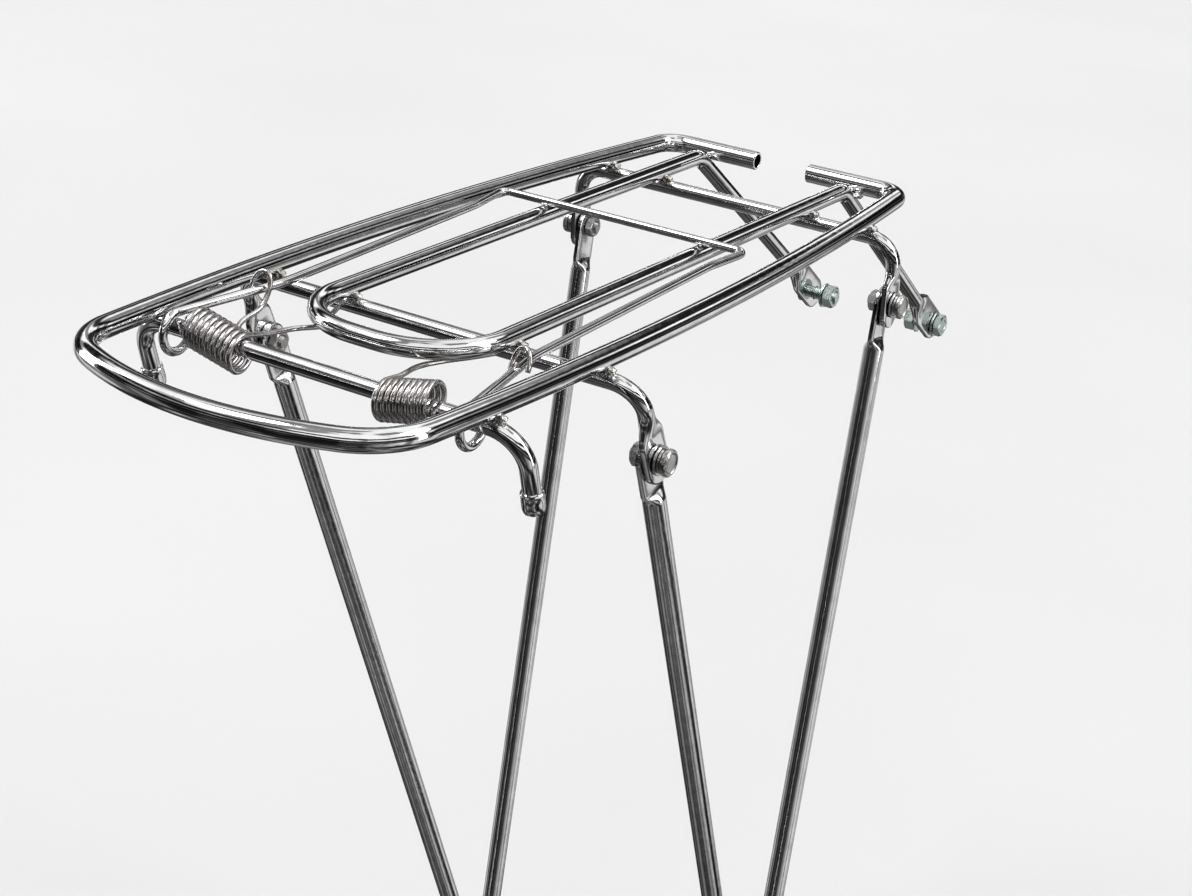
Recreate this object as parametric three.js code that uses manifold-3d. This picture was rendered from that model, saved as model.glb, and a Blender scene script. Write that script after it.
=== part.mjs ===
// Rear rack of a city bicycle, with a sprung clip that holds the load on its deck.
// Millimetres. +X is the rider's right, +Y the direction of travel, +Z up.
// Sizes are stated in the deck's own frame: x = 0 is the bicycle's middle plane, y = 0 the two
// front tails, z = 0 the centre line of the outer rail. One group then moves the whole rack so
// that its origin is at the middle of its base.
import * as THREE from "three";
import { mergeVertices } from "three/addons/utils/BufferGeometryUtils.js";
import Module from "manifold-3d";

const wasm = await Module();
wasm.setup();

// Pieces that are welded or clamped together keep this gap.
const GAP = 0.3;

// Outer rail: a tube bent to the outline of a racket, open at its two front ends.
const OUTER = { radius: 4, bore: 2.8, halfWidth: 70, widestY: -222, sideRadius: 1815 };
const OUTER_ENDS = { rearY: -389.4, bowRadius: 116, cornerRadius: 28, frontRadius: 11, tailEndX: 12.5 };

// Inner rail: one rod, a hairpin whose legs bend down in front of the deck as struts.
const INNER = { radius: 3.5, halfWidth: 35, z: -0.5, rearY: -301.5, cornerRadius: 30, strutBend: 15 };
const STRUT_BOLT = { x: 32, y: 117.6, z: -93.3 };
const STRUT_EYE = { tip: 7.5, halfWidth: 7.5, halfThickness: 1.5, length: 18, taper: 14 };

// Brackets: cross rods under the rails, with legs bent down outside them to flattened tabs.
const BRACKET_RADIUS = 3;
const BRACKET_BEND = 11;
const BRACKET_Z = -(OUTER.radius + BRACKET_RADIUS + GAP);
const BRACKETS = {
  rear: { y: -262.4, boltX: 84.5, boltY: -247.5, boltZ: -36.5, flat: 9, taper: 12 },
  front: { y: -43.4, boltX: 75, boltY: -41, boltZ: -34, flat: 8, taper: 7.5 },
};
const BRACKET_EYE = { tip: 10, halfWidth: 6.5, halfThickness: 1.6 };
const VENT = { radius: 1.5, depth: 2.2, alongLeg: 15 };

// Rear crossbar: carries the clip and its springs, and ends in two strap hooks.
const CROSSBAR = { radius: 3.1, y: -323.5, hookX: 79, hookLean: 18.6, hookLength: 26.7, bend: 13 };
const CROSSBAR_Z = -(OUTER.radius + CROSSBAR.radius + GAP);
const CAP = { radius: 4, bore: CROSSBAR.radius + GAP, length: 8.5, inside: 5.5 };

// Sprung clip: a wire that lies across the inner rail, with an eye hung on the crossbar at each end.
// Its arms are waisted: they run in from the front corners and spread again towards the eyes.
const BAIL = {
  radius: 1.6,
  frontX: 55,
  frontY: -137,
  waistX: 52.3,
  waistFrontY: -160,
  waistRearY: -279,
  rearX: 60.5,
};
const BAIL_BENDS = { front: 4, waistFront: 30, waistRear: 60 };
const BAIL_EYE = { radius: 7, behind: 1.5, below: 0.9, turn: 300 };
const BAIL_FRONT_Z = INNER.z + INNER.radius + BAIL.radius + GAP;

// Torsion springs: loose on the crossbar, lower at their inner ends, and slid along it by hand.
const SPRING = { wire: 0.95, coil: 6.65, length: 20, turns: 8, stepsPerTurn: 10, drop: 2.2 };
const SPRING_INNER_X = { right: 25.5, left: 33 };
// The inner leg runs under the inner rail's bow. Its last two points are placed from the coil's inner end.
const SPRING_INNER_LEG = [[33, -272, -5.5], [29.3, -281, -5.5], [24.5, -291, -5.5]];
const SPRING_TO_COIL = [[-3.5, -301, -5.4], [-1.5, -313, -4.6]];
// The outer leg rises beside the clip's arm and hooks over it.
const SPRING_OUTER_LEG = [
  [49, -313, -11.4],
  [50.5, -303, -7.6],
  [50.6, -294, -5.6],
  [50.6, -290, -2],
  [50.8, -288, 2],
  [52, -287, 5],
  [54.2, -287, 6],
  [56.4, -288, 4.8],
  [57.5, -289, 2],
  [57.6, -290, -1],
];

// Stays: tubes with flattened, drilled ends, from the brackets down to the dropouts.
const STAY = { radius: 4.3, bore: 3.3, boreInset: 34, ventRadius: 1.2 };
const STAY_EYE = { tip: 6.5, halfWidth: 6.5, halfThickness: 1.3, length: 14, taper: 6 };
const STAY_FOOT = { tip: 6.5, halfWidth: 6.5, halfThickness: 1.3, length: 16, taper: 10 };
const DROPOUT = { y: -80, z: -411, frontX: 71.8 };

// M5 leg bolts and M6 frame bolts. Lengths run along the bolt.
const M5 = { radius: 2.5, hole: 2.9, head: 5, headLength: 2.2, nutRadius: 4.6, nutLength: 3.2, washer: 5.4 };
const M6 = { radius: 3, hole: 3.4, head: 5.5, headLength: 3.3, nutRadius: 5.7, nutLength: 5, washer: 6 };
const WASHER_THICKNESS = 0.9;
const LOCK_WASHER = { radius: 4.4, thickness: 0.9, slot: 0.5 };
const BOLT_TIP = 1.2;
const LUG_GAP = 4.6;

// Smoothness of the faceted shapes.
const ROD_SIDES = 12;
const TUBE_SIDES = 10;
const BORE_SIDES = 6;
const WIRE_SIDES = 8;
const SPRING_SIDES = 5;
const ROUND_SIDES = 14;

function material(color, roughness, metalness) {
  return new THREE.MeshStandardMaterial({ color, roughness, metalness });
}

const chrome = () => material(0xc9cbd0, 0.12, 1);
const springSteel = () => material(0xb4b6ba, 0.2, 1);
const stayChrome = () => material(0xb9bcc2, 0.2, 1);
const zinc = () => material(0xb5bfb4, 0.35, 1);

const radians = THREE.MathUtils.degToRad;
const point = (x, y, z) => new THREE.Vector3(x, y, z);
const mirrored = (points) => points.map((p) => point(-p.x, p.y, p.z)).reverse();

// ---- Sweeps ---------------------------------------------------------------------------------

// A path given by its stations, so that a sweep has a section at each of them and nowhere else.
class StationPath extends THREE.Curve {
  constructor(stations) {
    super();
    this.stations = stations;
  }

  index(u) {
    return Math.round(u * (this.stations.length - 1));
  }

  getPoint(u) {
    return this.stations[this.index(u)].clone();
  }

  getPointAt(u) {
    return this.getPoint(u);
  }

  getTangentAt(u) {
    const i = this.index(u);
    const last = this.stations.length - 1;
    const before = this.stations[Math.max(i - 1, 0)];
    const here = this.stations[i];
    const after = this.stations[Math.min(i + 1, last)];
    const into = point(0, 0, 0).subVectors(here, before).normalize();
    const out = point(0, 0, 0).subVectors(after, here).normalize();
    return into.add(out).normalize();
  }
}

// A regular polygon with a flat edge on each axis.
function polygon(radius, sides) {
  const corners = [];
  for (let i = 0; i < sides; i += 1) {
    const angle = (2 * Math.PI * (i + 0.5)) / sides;
    corners.push(new THREE.Vector2(radius * Math.cos(angle), radius * Math.sin(angle)));
  }
  return corners;
}

function ringShape(radius, sides, boreRadius = 0, boreSides = sides) {
  const shape = new THREE.Shape(polygon(radius, sides));
  if (boreRadius > 0) {
    shape.holes.push(new THREE.Path(polygon(boreRadius, boreSides)));
  }
  return shape;
}

function sweep(stations, shape) {
  return new THREE.ExtrudeGeometry(shape, {
    steps: stations.length - 1,
    extrudePath: new StationPath(stations),
  });
}

// Points of an arc in a horizontal plane, from one angle to another in degrees.
function flatArc(x, y, z, radius, from, to, count) {
  const points = [];
  for (let i = 0; i <= count; i += 1) {
    const angle = radians(from + ((to - from) * i) / count);
    points.push(point(x + radius * Math.cos(angle), y + radius * Math.sin(angle), z));
  }
  return points;
}

// Stations of a path with straight runs between corners, each inner corner rounded to its radius.
function rounded(corners, radii, count) {
  const stations = [corners[0]];
  for (let i = 1; i < corners.length - 1; i += 1) {
    const into = point(0, 0, 0).subVectors(corners[i], corners[i - 1]).normalize();
    const out = point(0, 0, 0).subVectors(corners[i + 1], corners[i]).normalize();
    const turn = into.angleTo(out);
    const radius = radii[i - 1];
    const start = corners[i].clone().addScaledVector(into, -radius * Math.tan(turn / 2));
    const inward = out.clone().addScaledVector(into, -out.dot(into)).normalize();
    const centre = start.clone().addScaledVector(inward, radius);
    for (let k = 0; k <= count; k += 1) {
      const angle = (turn * k) / count;
      const station = centre.clone().addScaledVector(inward, -radius * Math.cos(angle));
      stations.push(station.addScaledVector(into, radius * Math.sin(angle)));
    }
  }
  stations.push(corners[corners.length - 1]);
  return stations;
}

// Straight stations for a flattened eye: from its round tip up to where the rod is round again.
function eyeStations(bolt, inward, eye) {
  const reach = eye.halfWidth;
  const flatEnd = eye.tip + eye.length;
  const distances = [0.06 * reach, 0.35 * reach, reach, (reach + flatEnd) / 2, flatEnd];
  const taper = [0.25, 0.5, 0.75, 1].map((part) => flatEnd + part * eye.taper);
  return [...distances, ...taper].map((d) => bolt.clone().addScaledVector(inward, d - eye.tip));
}

// Presses the end of a rod flat across X, round at its tip, fading out into the round rod.
function flattenEnd(geometry, bolt, inward, rodRadius, eye) {
  const tip = bolt.clone().addScaledVector(inward, -eye.tip);
  const across = point(1, 0, 0).cross(inward).normalize();
  const reach = eye.halfWidth;
  const flatEnd = eye.tip + eye.length;
  const flatStart = 1.45;
  const positions = geometry.attributes.position;
  const corner = point(0, 0, 0);
  for (let i = 0; i < positions.count; i += 1) {
    corner.fromBufferAttribute(positions, i).sub(tip);
    const along = corner.dot(inward);
    const side = corner.addScaledVector(inward, -along);
    const fade = 1 - THREE.MathUtils.smoothstep(along, flatEnd, flatEnd + eye.taper);
    if (along > -rodRadius && fade > 0 && side.length() < 1.5 * rodRadius) {
      const round = along < reach ? Math.sqrt(reach ** 2 - (reach - along) ** 2) / reach : 1;
      const thickness = THREE.MathUtils.clamp((flatStart * side.x) / rodRadius, -1, 1) * eye.halfThickness;
      const width = (side.dot(across) / rodRadius) * eye.halfWidth * round;
      const flat = point(thickness, 0, 0).addScaledVector(across, width);
      const moved = side.clone().lerp(flat, fade).addScaledVector(inward, along).add(tip);
      positions.setXYZ(i, moved.x, moved.y, moved.z);
    }
  }
}

// ---- Cuts -----------------------------------------------------------------------------------

function toSolid(geometry) {
  const bare = geometry.clone();
  bare.deleteAttribute("normal");
  bare.deleteAttribute("uv");
  const merged = mergeVertices(bare, 1e-4);
  const vertProperties = new Float32Array(merged.attributes.position.array);
  const triVerts = new Uint32Array(merged.index.array);
  return new wasm.Manifold(new wasm.Mesh({ numProp: 3, vertProperties, triVerts }));
}

function toGeometry(solid) {
  const mesh = solid.getMesh();
  const geometry = new THREE.BufferGeometry();
  geometry.setAttribute("position", new THREE.BufferAttribute(new Float32Array(mesh.vertProperties), 3));
  geometry.setIndex(new THREE.BufferAttribute(new Uint32Array(mesh.triVerts), 1));
  return geometry;
}

function cut(geometry, tools) {
  let solid = toSolid(geometry);
  for (const tool of tools) {
    solid = solid.subtract(toSolid(tool));
  }
  return toGeometry(solid);
}

// A round bar along X, centred on a point.
function barAlongX(radius, length, centre, sides = ROD_SIDES) {
  const bar = new THREE.CylinderGeometry(radius, radius, length, sides);
  bar.rotateZ(Math.PI / 2);
  bar.translate(centre.x, centre.y, centre.z);
  return bar;
}

// A round bar between two points.
function barBetween(radius, start, end, sides) {
  const bar = new THREE.CylinderGeometry(radius, radius, start.distanceTo(end), sides);
  const direction = point(0, 0, 0).subVectors(end, start).normalize();
  bar.applyQuaternion(new THREE.Quaternion().setFromUnitVectors(point(0, 1, 0), direction));
  const middle = start.clone().lerp(end, 0.5);
  bar.translate(middle.x, middle.y, middle.z);
  return bar;
}

// ---- Rails ----------------------------------------------------------------------------------

// Right half of the racket outline, front to rear: front corner, side, rear corner, rear bow.
function outerRightHalf() {
  const sideCentre = point(OUTER.halfWidth - OUTER.sideRadius, OUTER.widestY, 0);
  const bowCentre = point(0, OUTER_ENDS.rearY + OUTER_ENDS.bowRadius, 0);
  const toSide = OUTER.sideRadius - OUTER_ENDS.cornerRadius;
  const toBow = OUTER_ENDS.bowRadius - OUTER_ENDS.cornerRadius;
  const apart = sideCentre.distanceTo(bowCentre);
  const foot = (toSide ** 2 - toBow ** 2 + apart ** 2) / (2 * apart);
  const height = Math.sqrt(toSide ** 2 - foot ** 2);
  const line = point(0, 0, 0).subVectors(bowCentre, sideCentre).normalize();
  const corner = sideCentre.clone().addScaledVector(line, foot);
  corner.add(point(line.y, -line.x, 0).multiplyScalar(height));
  const angleFrom = (centre) => {
    return THREE.MathUtils.radToDeg(Math.atan2(corner.y - centre.y, corner.x - centre.x));
  };
  const sideEnd = angleFrom(sideCentre);
  const bowStart = angleFrom(bowCentre);

  const front = OUTER_ENDS.frontRadius;
  const sideStart = THREE.MathUtils.radToDeg(Math.asin((-front - OUTER.widestY) / OUTER.sideRadius));
  const frontX = sideCentre.x + OUTER.sideRadius * Math.cos(radians(sideStart));
  return [
    point(OUTER_ENDS.tailEndX, 0, 0),
    ...flatArc(frontX - front, -front, 0, front, 90, sideStart, 4),
    ...flatArc(sideCentre.x, sideCentre.y, 0, OUTER.sideRadius, sideStart, sideEnd, 5).slice(1),
    ...flatArc(corner.x, corner.y, 0, OUTER_ENDS.cornerRadius, sideEnd, bowStart, 5).slice(1),
    ...flatArc(bowCentre.x, bowCentre.y, 0, OUTER_ENDS.bowRadius, bowStart, -90, 3).slice(1),
  ];
}

function outerRail() {
  const right = outerRightHalf();
  const stations = [...right, ...mirrored(right).slice(1)];
  return sweep(stations, ringShape(OUTER.radius, TUBE_SIDES, OUTER.bore, BORE_SIDES));
}

// Slope of the struts: they pass just under the tails on their way to the frame bolts.
function strutSlope() {
  const reach = Math.hypot(STRUT_BOLT.y, STRUT_BOLT.z);
  const clear = OUTER.radius + INNER.radius + GAP;
  return Math.atan2(-STRUT_BOLT.z, STRUT_BOLT.y) - Math.asin(clear / reach);
}

function innerRail() {
  const slope = strutSlope();
  const bolt = point(STRUT_BOLT.x, STRUT_BOLT.y, STRUT_BOLT.z);
  const inward = point(0, -Math.cos(slope), Math.sin(slope));
  const eye = eyeStations(bolt, inward, STRUT_EYE);
  const bendY = STRUT_BOLT.y - (INNER.z - STRUT_BOLT.z) / Math.tan(slope);
  const knee = point(INNER.halfWidth, bendY, INNER.z);
  const cornerY = INNER.rearY + INNER.cornerRadius;
  const cornerX = INNER.halfWidth - INNER.cornerRadius;
  const corners = [eye[eye.length - 1], knee, point(INNER.halfWidth, cornerY, INNER.z)];
  const run = rounded(corners, [INNER.strutBend], 3);
  const right = [
    ...eye.slice(0, -1),
    ...run,
    ...flatArc(cornerX, cornerY, INNER.z, INNER.cornerRadius, 0, -90, 6).slice(1),
  ];
  const rod = sweep([...right, ...mirrored(right)], ringShape(INNER.radius, ROD_SIDES));
  const holes = [];
  for (const side of [1, -1]) {
    const centre = point(side * bolt.x, bolt.y, bolt.z);
    flattenEnd(rod, centre, inward, INNER.radius, STRUT_EYE);
    holes.push(barAlongX(M6.hole, 4 * INNER.radius, centre));
  }
  return cut(rod, holes);
}

// ---- Brackets and crossbar ------------------------------------------------------------------

function bracket(place) {
  const foot = point(place.boltX, place.boltY, place.boltZ);
  const knee = point(place.boltX, place.y, BRACKET_Z);
  const inward = point(0, 0, 0).subVectors(knee, foot).normalize();
  const tab = { ...BRACKET_EYE, length: place.flat, taper: place.taper };
  const eye = eyeStations(foot, inward, tab);
  const top = eye[eye.length - 1];
  const corner = rounded([top, knee, point(0, place.y, BRACKET_Z)], [BRACKET_BEND], 5).slice(0, -1);
  const right = [...eye.slice(0, -1), ...corner];
  const rod = sweep([...right, ...mirrored(right)], ringShape(BRACKET_RADIUS, ROD_SIDES));
  const holes = [];
  for (const side of [1, -1]) {
    const centre = point(side * foot.x, foot.y, foot.z);
    flattenEnd(rod, centre, inward, BRACKET_RADIUS, tab);
    holes.push(barAlongX(M5.hole, 4 * BRACKET_RADIUS, centre));
    const vent = centre.clone().addScaledVector(inward, VENT.alongLeg);
    vent.x = side * (foot.x - BRACKET_RADIUS);
    holes.push(barAlongX(VENT.radius, VENT.depth, vent, BORE_SIDES));
  }
  return cut(rod, holes);
}

// The direction in which a strap hook points down and forward.
function hookDirection() {
  const lean = radians(CROSSBAR.hookLean);
  return point(0, Math.sin(lean), -Math.cos(lean));
}

function rearCrossbar() {
  const knee = point(CROSSBAR.hookX, CROSSBAR.y, CROSSBAR_Z);
  const end = knee.clone().addScaledVector(hookDirection(), CROSSBAR.hookLength);
  const corner = rounded([end, knee, point(0, CROSSBAR.y, CROSSBAR_Z)], [CROSSBAR.bend], 5).slice(0, -1);
  return sweep([...corner, ...mirrored(corner)], ringShape(CROSSBAR.radius, TUBE_SIDES));
}

// A bulged cap, turned about Y: open at the top where the hook goes in, domed below.
function hookCap() {
  const outside = CAP.radius;
  const profile = [
    [0, 0],
    [outside * 0.55, 0.35],
    [outside * 0.9, 1.5],
    [outside, 3],
    [outside, CAP.length - 2.2],
    [outside * 0.95, CAP.length],
    [CAP.bore, CAP.length],
    [CAP.bore, CAP.length - CAP.inside],
    [0, CAP.length - CAP.inside],
  ].map(([r, h]) => new THREE.Vector2(r, h));
  return new THREE.LatheGeometry(profile, ROUND_SIDES);
}

// ---- Clip and springs -----------------------------------------------------------------------

function bail() {
  const eyeCentre = point(BAIL.rearX, CROSSBAR.y - BAIL_EYE.behind, CROSSBAR_Z - BAIL_EYE.below);
  const rise = BAIL_FRONT_Z - eyeCentre.z - BAIL_EYE.radius;
  const slope = Math.atan2(rise, BAIL.frontY - eyeCentre.y);
  const eye = [];
  const steps = 14;
  for (let i = 0; i <= steps; i += 1) {
    const angle = slope + radians(BAIL_EYE.turn * (1 - i / steps));
    const y = eyeCentre.y - BAIL_EYE.radius * Math.sin(angle);
    eye.push(point(BAIL.rearX, y, eyeCentre.z + BAIL_EYE.radius * Math.cos(angle)));
  }
  const armPoint = (x, y) => point(x, y, BAIL_FRONT_Z - (BAIL.frontY - y) * Math.tan(slope));
  const corners = [
    eye[eye.length - 1],
    armPoint(BAIL.waistX, BAIL.waistRearY),
    armPoint(BAIL.waistX, BAIL.waistFrontY),
    armPoint(BAIL.frontX, BAIL.frontY),
    point(0, BAIL.frontY, BAIL_FRONT_Z),
  ];
  const radii = [BAIL_BENDS.waistRear, BAIL_BENDS.waistFront, BAIL_BENDS.front];
  const bent = rounded(corners, radii, 4).slice(1, -1);
  const right = [...eye, ...bent];
  return sweep([...right, ...mirrored(right)], ringShape(BAIL.radius, WIRE_SIDES));
}

// A spring as on the right side, from the tip of its inner leg to the hook over the clip's arm.
function springStations(innerX) {
  const coil = [];
  const steps = (SPRING.turns + 0.5) * SPRING.stepsPerTurn;
  for (let i = 0; i <= steps; i += 1) {
    const part = i / steps;
    const angle = (2 * Math.PI * i) / SPRING.stepsPerTurn;
    const x = innerX + SPRING.length * part;
    const z = CROSSBAR_Z + THREE.MathUtils.lerp(-SPRING.drop, SPRING.drop, part);
    coil.push(point(x, CROSSBAR.y - SPRING.coil * Math.sin(angle), z + SPRING.coil * Math.cos(angle)));
  }
  const leg = (points, fromX = 0) => points.map(([x, y, z]) => point(fromX + x, y, z));
  return [...leg(SPRING_INNER_LEG), ...leg(SPRING_TO_COIL, innerX), ...coil, ...leg(SPRING_OUTER_LEG)];
}

function spring(label) {
  const stations = springStations(SPRING_INNER_X[label]);
  return sweep(label === "right" ? stations : mirrored(stations), ringShape(SPRING.wire, SPRING_SIDES));
}

// ---- Stays ----------------------------------------------------------------------------------

// Middle of a stay's upper eye: against the inner face of its bracket's tab.
function stayTopX(place) {
  return place.boltX - BRACKET_EYE.halfThickness - GAP - STAY_EYE.halfThickness;
}

// Front and rear stays share one dropout screw, the rear foot outside the front one.
function stayFootX(end) {
  const stack = 2 * STAY_FOOT.halfThickness + GAP;
  return end === "rear" ? DROPOUT.frontX + stack : DROPOUT.frontX;
}

function stay(end) {
  const place = BRACKETS[end];
  const top = point(stayTopX(place), place.boltY, place.boltZ);
  const foot = point(stayFootX(end), DROPOUT.y, DROPOUT.z);
  const down = point(0, foot.y - top.y, foot.z - top.z).normalize();
  const up = down.clone().negate();
  const stations = [...eyeStations(top, down, STAY_EYE), ...eyeStations(foot, up, STAY_FOOT).reverse()];
  const tube = sweep(stations, ringShape(STAY.radius, ROD_SIDES));
  flattenEnd(tube, top, down, STAY.radius, STAY_EYE);
  flattenEnd(tube, foot, up, STAY.radius, STAY_FOOT);
  const inset = STAY.boreInset / top.distanceTo(foot);
  const boreTop = top.clone().lerp(foot, inset);
  const boreFoot = foot.clone().lerp(top, inset);
  const vent = foot.clone().lerp(top, 1.3 * inset);
  vent.x -= STAY.radius;
  return cut(tube, [
    barAlongX(M5.hole, 4 * STAY.radius, top),
    barAlongX(M5.hole, 4 * STAY.radius, foot),
    barBetween(STAY.bore, boreTop, boreFoot, BORE_SIDES + 2),
    barAlongX(STAY.ventRadius, STAY.radius, vent, BORE_SIDES),
  ]);
}

// ---- Fasteners: each is made along X, pointing out of the rack -------------------------------

function turned(profile, sides) {
  const shape = new THREE.LatheGeometry(profile.map(([r, x]) => new THREE.Vector2(r, x)), sides);
  shape.rotateZ(-Math.PI / 2);
  return shape;
}

// A plain shank with a low round head whose face is slightly dished.
function roundBolt(size, length) {
  const head = size.head;
  const face = size.headLength;
  return turned([
    [0, -length],
    [size.radius - 0.5, -length],
    [size.radius, -length + 0.6],
    [size.radius, 0],
    [head * 0.96, 0],
    [head, 0.5],
    [head, face - 1.1],
    [head * 0.86, face],
    [head * 0.6, face],
    [0, face - 0.5],
  ], ROUND_SIDES);
}

function ring(outer, inner, thickness, sides = ROUND_SIDES) {
  const shape = ringShape(outer, sides, inner, ROUND_SIDES);
  const body = new THREE.ExtrudeGeometry(shape, { depth: thickness, bevelEnabled: false });
  body.rotateY(Math.PI / 2);
  return body;
}

function lockWasher(size) {
  const inner = size.radius + GAP;
  const body = ring(LOCK_WASHER.radius, inner, LOCK_WASHER.thickness);
  const slot = new THREE.BoxGeometry(3 * LOCK_WASHER.thickness, LOCK_WASHER.slot, LOCK_WASHER.radius);
  slot.rotateX(radians(12));
  slot.translate(LOCK_WASHER.thickness / 2, 0, (LOCK_WASHER.radius + inner) / 2);
  return cut(body, [slot]);
}

// ---- Assembly -------------------------------------------------------------------------------

const deck = new THREE.Group();

function add(parent, name, geometry, surface, position = point(0, 0, 0)) {
  const mesh = new THREE.Mesh(geometry, surface);
  mesh.name = name;
  mesh.position.copy(position);
  parent.add(mesh);
  return mesh;
}

function addRails() {
  add(deck, "outer_rail", outerRail(), chrome());
  add(deck, "inner_rail", innerRail(), chrome());
  add(deck, "rear_bracket", bracket(BRACKETS.rear), chrome());
  add(deck, "front_bracket", bracket(BRACKETS.front), chrome());
  add(deck, "rear_crossbar", rearCrossbar(), chrome());
}

// The cap's closed end points down along the hook.
function addHookCap(side, name) {
  const knee = point(side * CROSSBAR.hookX, CROSSBAR.y, CROSSBAR_Z);
  const reach = CROSSBAR.hookLength + GAP + CAP.length - CAP.inside;
  const cap = add(deck, name, hookCap(), chrome(), knee.addScaledVector(hookDirection(), reach));
  cap.quaternion.setFromUnitVectors(point(0, 1, 0), hookDirection().negate());
}

// A set of fasteners at one bolt. Its group turns so that its own +X points away from the bicycle.
function fastenerGroup(side, x, y, z) {
  const group = new THREE.Group();
  group.position.set(side * x, y, z);
  group.rotation.z = side > 0 ? 0 : Math.PI;
  deck.add(group);
  return group;
}

function addLegFasteners(side, end, label) {
  const place = BRACKETS[end];
  const group = fastenerGroup(side, place.boltX, place.boltY, place.boltZ);
  const washerX = BRACKET_EYE.halfThickness + GAP;
  const lockX = washerX + WASHER_THICKNESS + GAP;
  const headX = lockX + LOCK_WASHER.thickness + GAP;
  const nutX = -BRACKET_EYE.halfThickness - 2 * STAY_EYE.halfThickness - 2 * GAP - M5.nutLength;
  const hole = M5.radius + GAP;
  add(group, `leg_bolt_${label}`, roundBolt(M5, headX - nutX + BOLT_TIP), chrome(), point(headX, 0, 0));
  add(group, `leg_washer_${label}`, ring(M5.washer, hole, WASHER_THICKNESS), chrome(), point(washerX, 0, 0));
  add(group, `leg_lock_washer_${label}`, lockWasher(M5), chrome(), point(lockX, 0, 0));
  const nut = add(group, `leg_nut_${label}`, ring(M5.nutRadius, hole, M5.nutLength, 6), chrome());
  nut.position.x = nutX;
}

// The seat-stay lug of the bicycle goes into the gap between the strut's eye and the inner washer.
function addFrameFasteners(side, label) {
  const group = fastenerGroup(side, STRUT_BOLT.x, STRUT_BOLT.y, STRUT_BOLT.z);
  const outerX = STRUT_EYE.halfThickness + GAP;
  const headX = outerX + WASHER_THICKNESS + GAP;
  const innerX = -STRUT_EYE.halfThickness - LUG_GAP - WASHER_THICKNESS;
  const nutX = innerX - GAP - M6.nutLength;
  const hole = M6.radius + GAP;
  add(group, `frame_bolt_${label}`, roundBolt(M6, headX - nutX + BOLT_TIP), zinc(), point(headX, 0, 0));
  const washer = () => ring(M6.washer, hole, WASHER_THICKNESS);
  add(group, `frame_washer_outer_${label}`, washer(), zinc(), point(outerX, 0, 0));
  add(group, `frame_washer_inner_${label}`, washer(), zinc(), point(innerX, 0, 0));
  add(group, `frame_nut_${label}`, ring(M6.nutRadius, hole, M6.nutLength, 6), zinc(), point(nutX, 0, 0));
}

function addSide(side, label) {
  addHookCap(side, `hook_cap_${label}`);
  add(deck, `spring_${label}`, spring(label), springSteel());
  for (const end of ["rear", "front"]) {
    const tube = add(deck, `${end}_stay_${label}`, stay(end), stayChrome());
    if (side < 0) {
      tube.geometry = tube.geometry.clone().applyMatrix4(new THREE.Matrix4().makeScale(-1, 1, 1));
      tube.geometry.index.array.reverse();
    }
    addLegFasteners(side, end, `${end}_${label}`);
  }
  addFrameFasteners(side, label);
}

addRails();
add(deck, "bail", bail(), chrome());
addSide(1, "right");
addSide(-1, "left");

// The origin is at the middle of the rack's base.
const extent = new THREE.Box3().setFromObject(deck);
const rack = new THREE.Group();
deck.position.set(0, -(extent.min.y + extent.max.y) / 2, -extent.min.z);
rack.add(deck);

export default rack;
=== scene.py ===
"""Looks of the rear rack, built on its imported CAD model.

Row frame: metres, +X the rider's right, +Y the direction of travel, +Z up. Shapes are worked out in
the deck's own frame, in millimetres: x = 0 is the middle plane, y = 0 the two front tails and z = 0
the outer rail's centre line, as in the CAD. make_mesh() moves them into the row frame.
"""

import math

import bmesh
import bpy
from mathutils import Matrix, Vector, noise


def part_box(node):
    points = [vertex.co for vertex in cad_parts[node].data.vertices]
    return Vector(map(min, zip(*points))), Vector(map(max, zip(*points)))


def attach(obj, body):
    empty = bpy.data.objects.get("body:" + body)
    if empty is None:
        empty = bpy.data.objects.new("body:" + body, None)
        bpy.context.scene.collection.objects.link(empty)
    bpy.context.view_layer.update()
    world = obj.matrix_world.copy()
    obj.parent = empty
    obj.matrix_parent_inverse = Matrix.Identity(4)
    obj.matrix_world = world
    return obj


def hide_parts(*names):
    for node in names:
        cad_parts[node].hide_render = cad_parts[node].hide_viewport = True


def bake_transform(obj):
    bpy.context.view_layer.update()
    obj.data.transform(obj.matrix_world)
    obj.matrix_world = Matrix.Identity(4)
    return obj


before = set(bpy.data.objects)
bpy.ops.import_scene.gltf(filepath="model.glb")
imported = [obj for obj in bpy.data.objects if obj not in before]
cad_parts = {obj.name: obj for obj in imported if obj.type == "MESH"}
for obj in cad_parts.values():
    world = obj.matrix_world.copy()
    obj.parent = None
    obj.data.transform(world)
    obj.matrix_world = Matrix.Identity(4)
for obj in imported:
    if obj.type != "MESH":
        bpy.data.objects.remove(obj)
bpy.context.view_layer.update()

# ---- Dimensions, in millimetres ---------------------------------------------------------------

GAP = 0.3

OUTER_R = 4.0
OUTER_BORE = 2.9
OUTER_LIP = 0.35
OUTER_HALF = 70.0
OUTER_WIDEST_Y = -222.0
OUTER_SIDE_R = 1815.0
OUTER_REAR_Y = -389.4
OUTER_BOW_R = 116.0
OUTER_CORNER_R = 28.0
OUTER_FRONT_R = 11.0
TAIL_END_X = 12.5
BORE_DEPTH = 30.0

INNER_R = 3.5
INNER_HALF = 35.0
INNER_Z = -0.5
INNER_REAR_Y = -301.5
INNER_CORNER_R = 30.0
INNER_BEND_R = 15.0
STRUT_BOLT = Vector((32.0, 117.6, -93.3))

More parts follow.
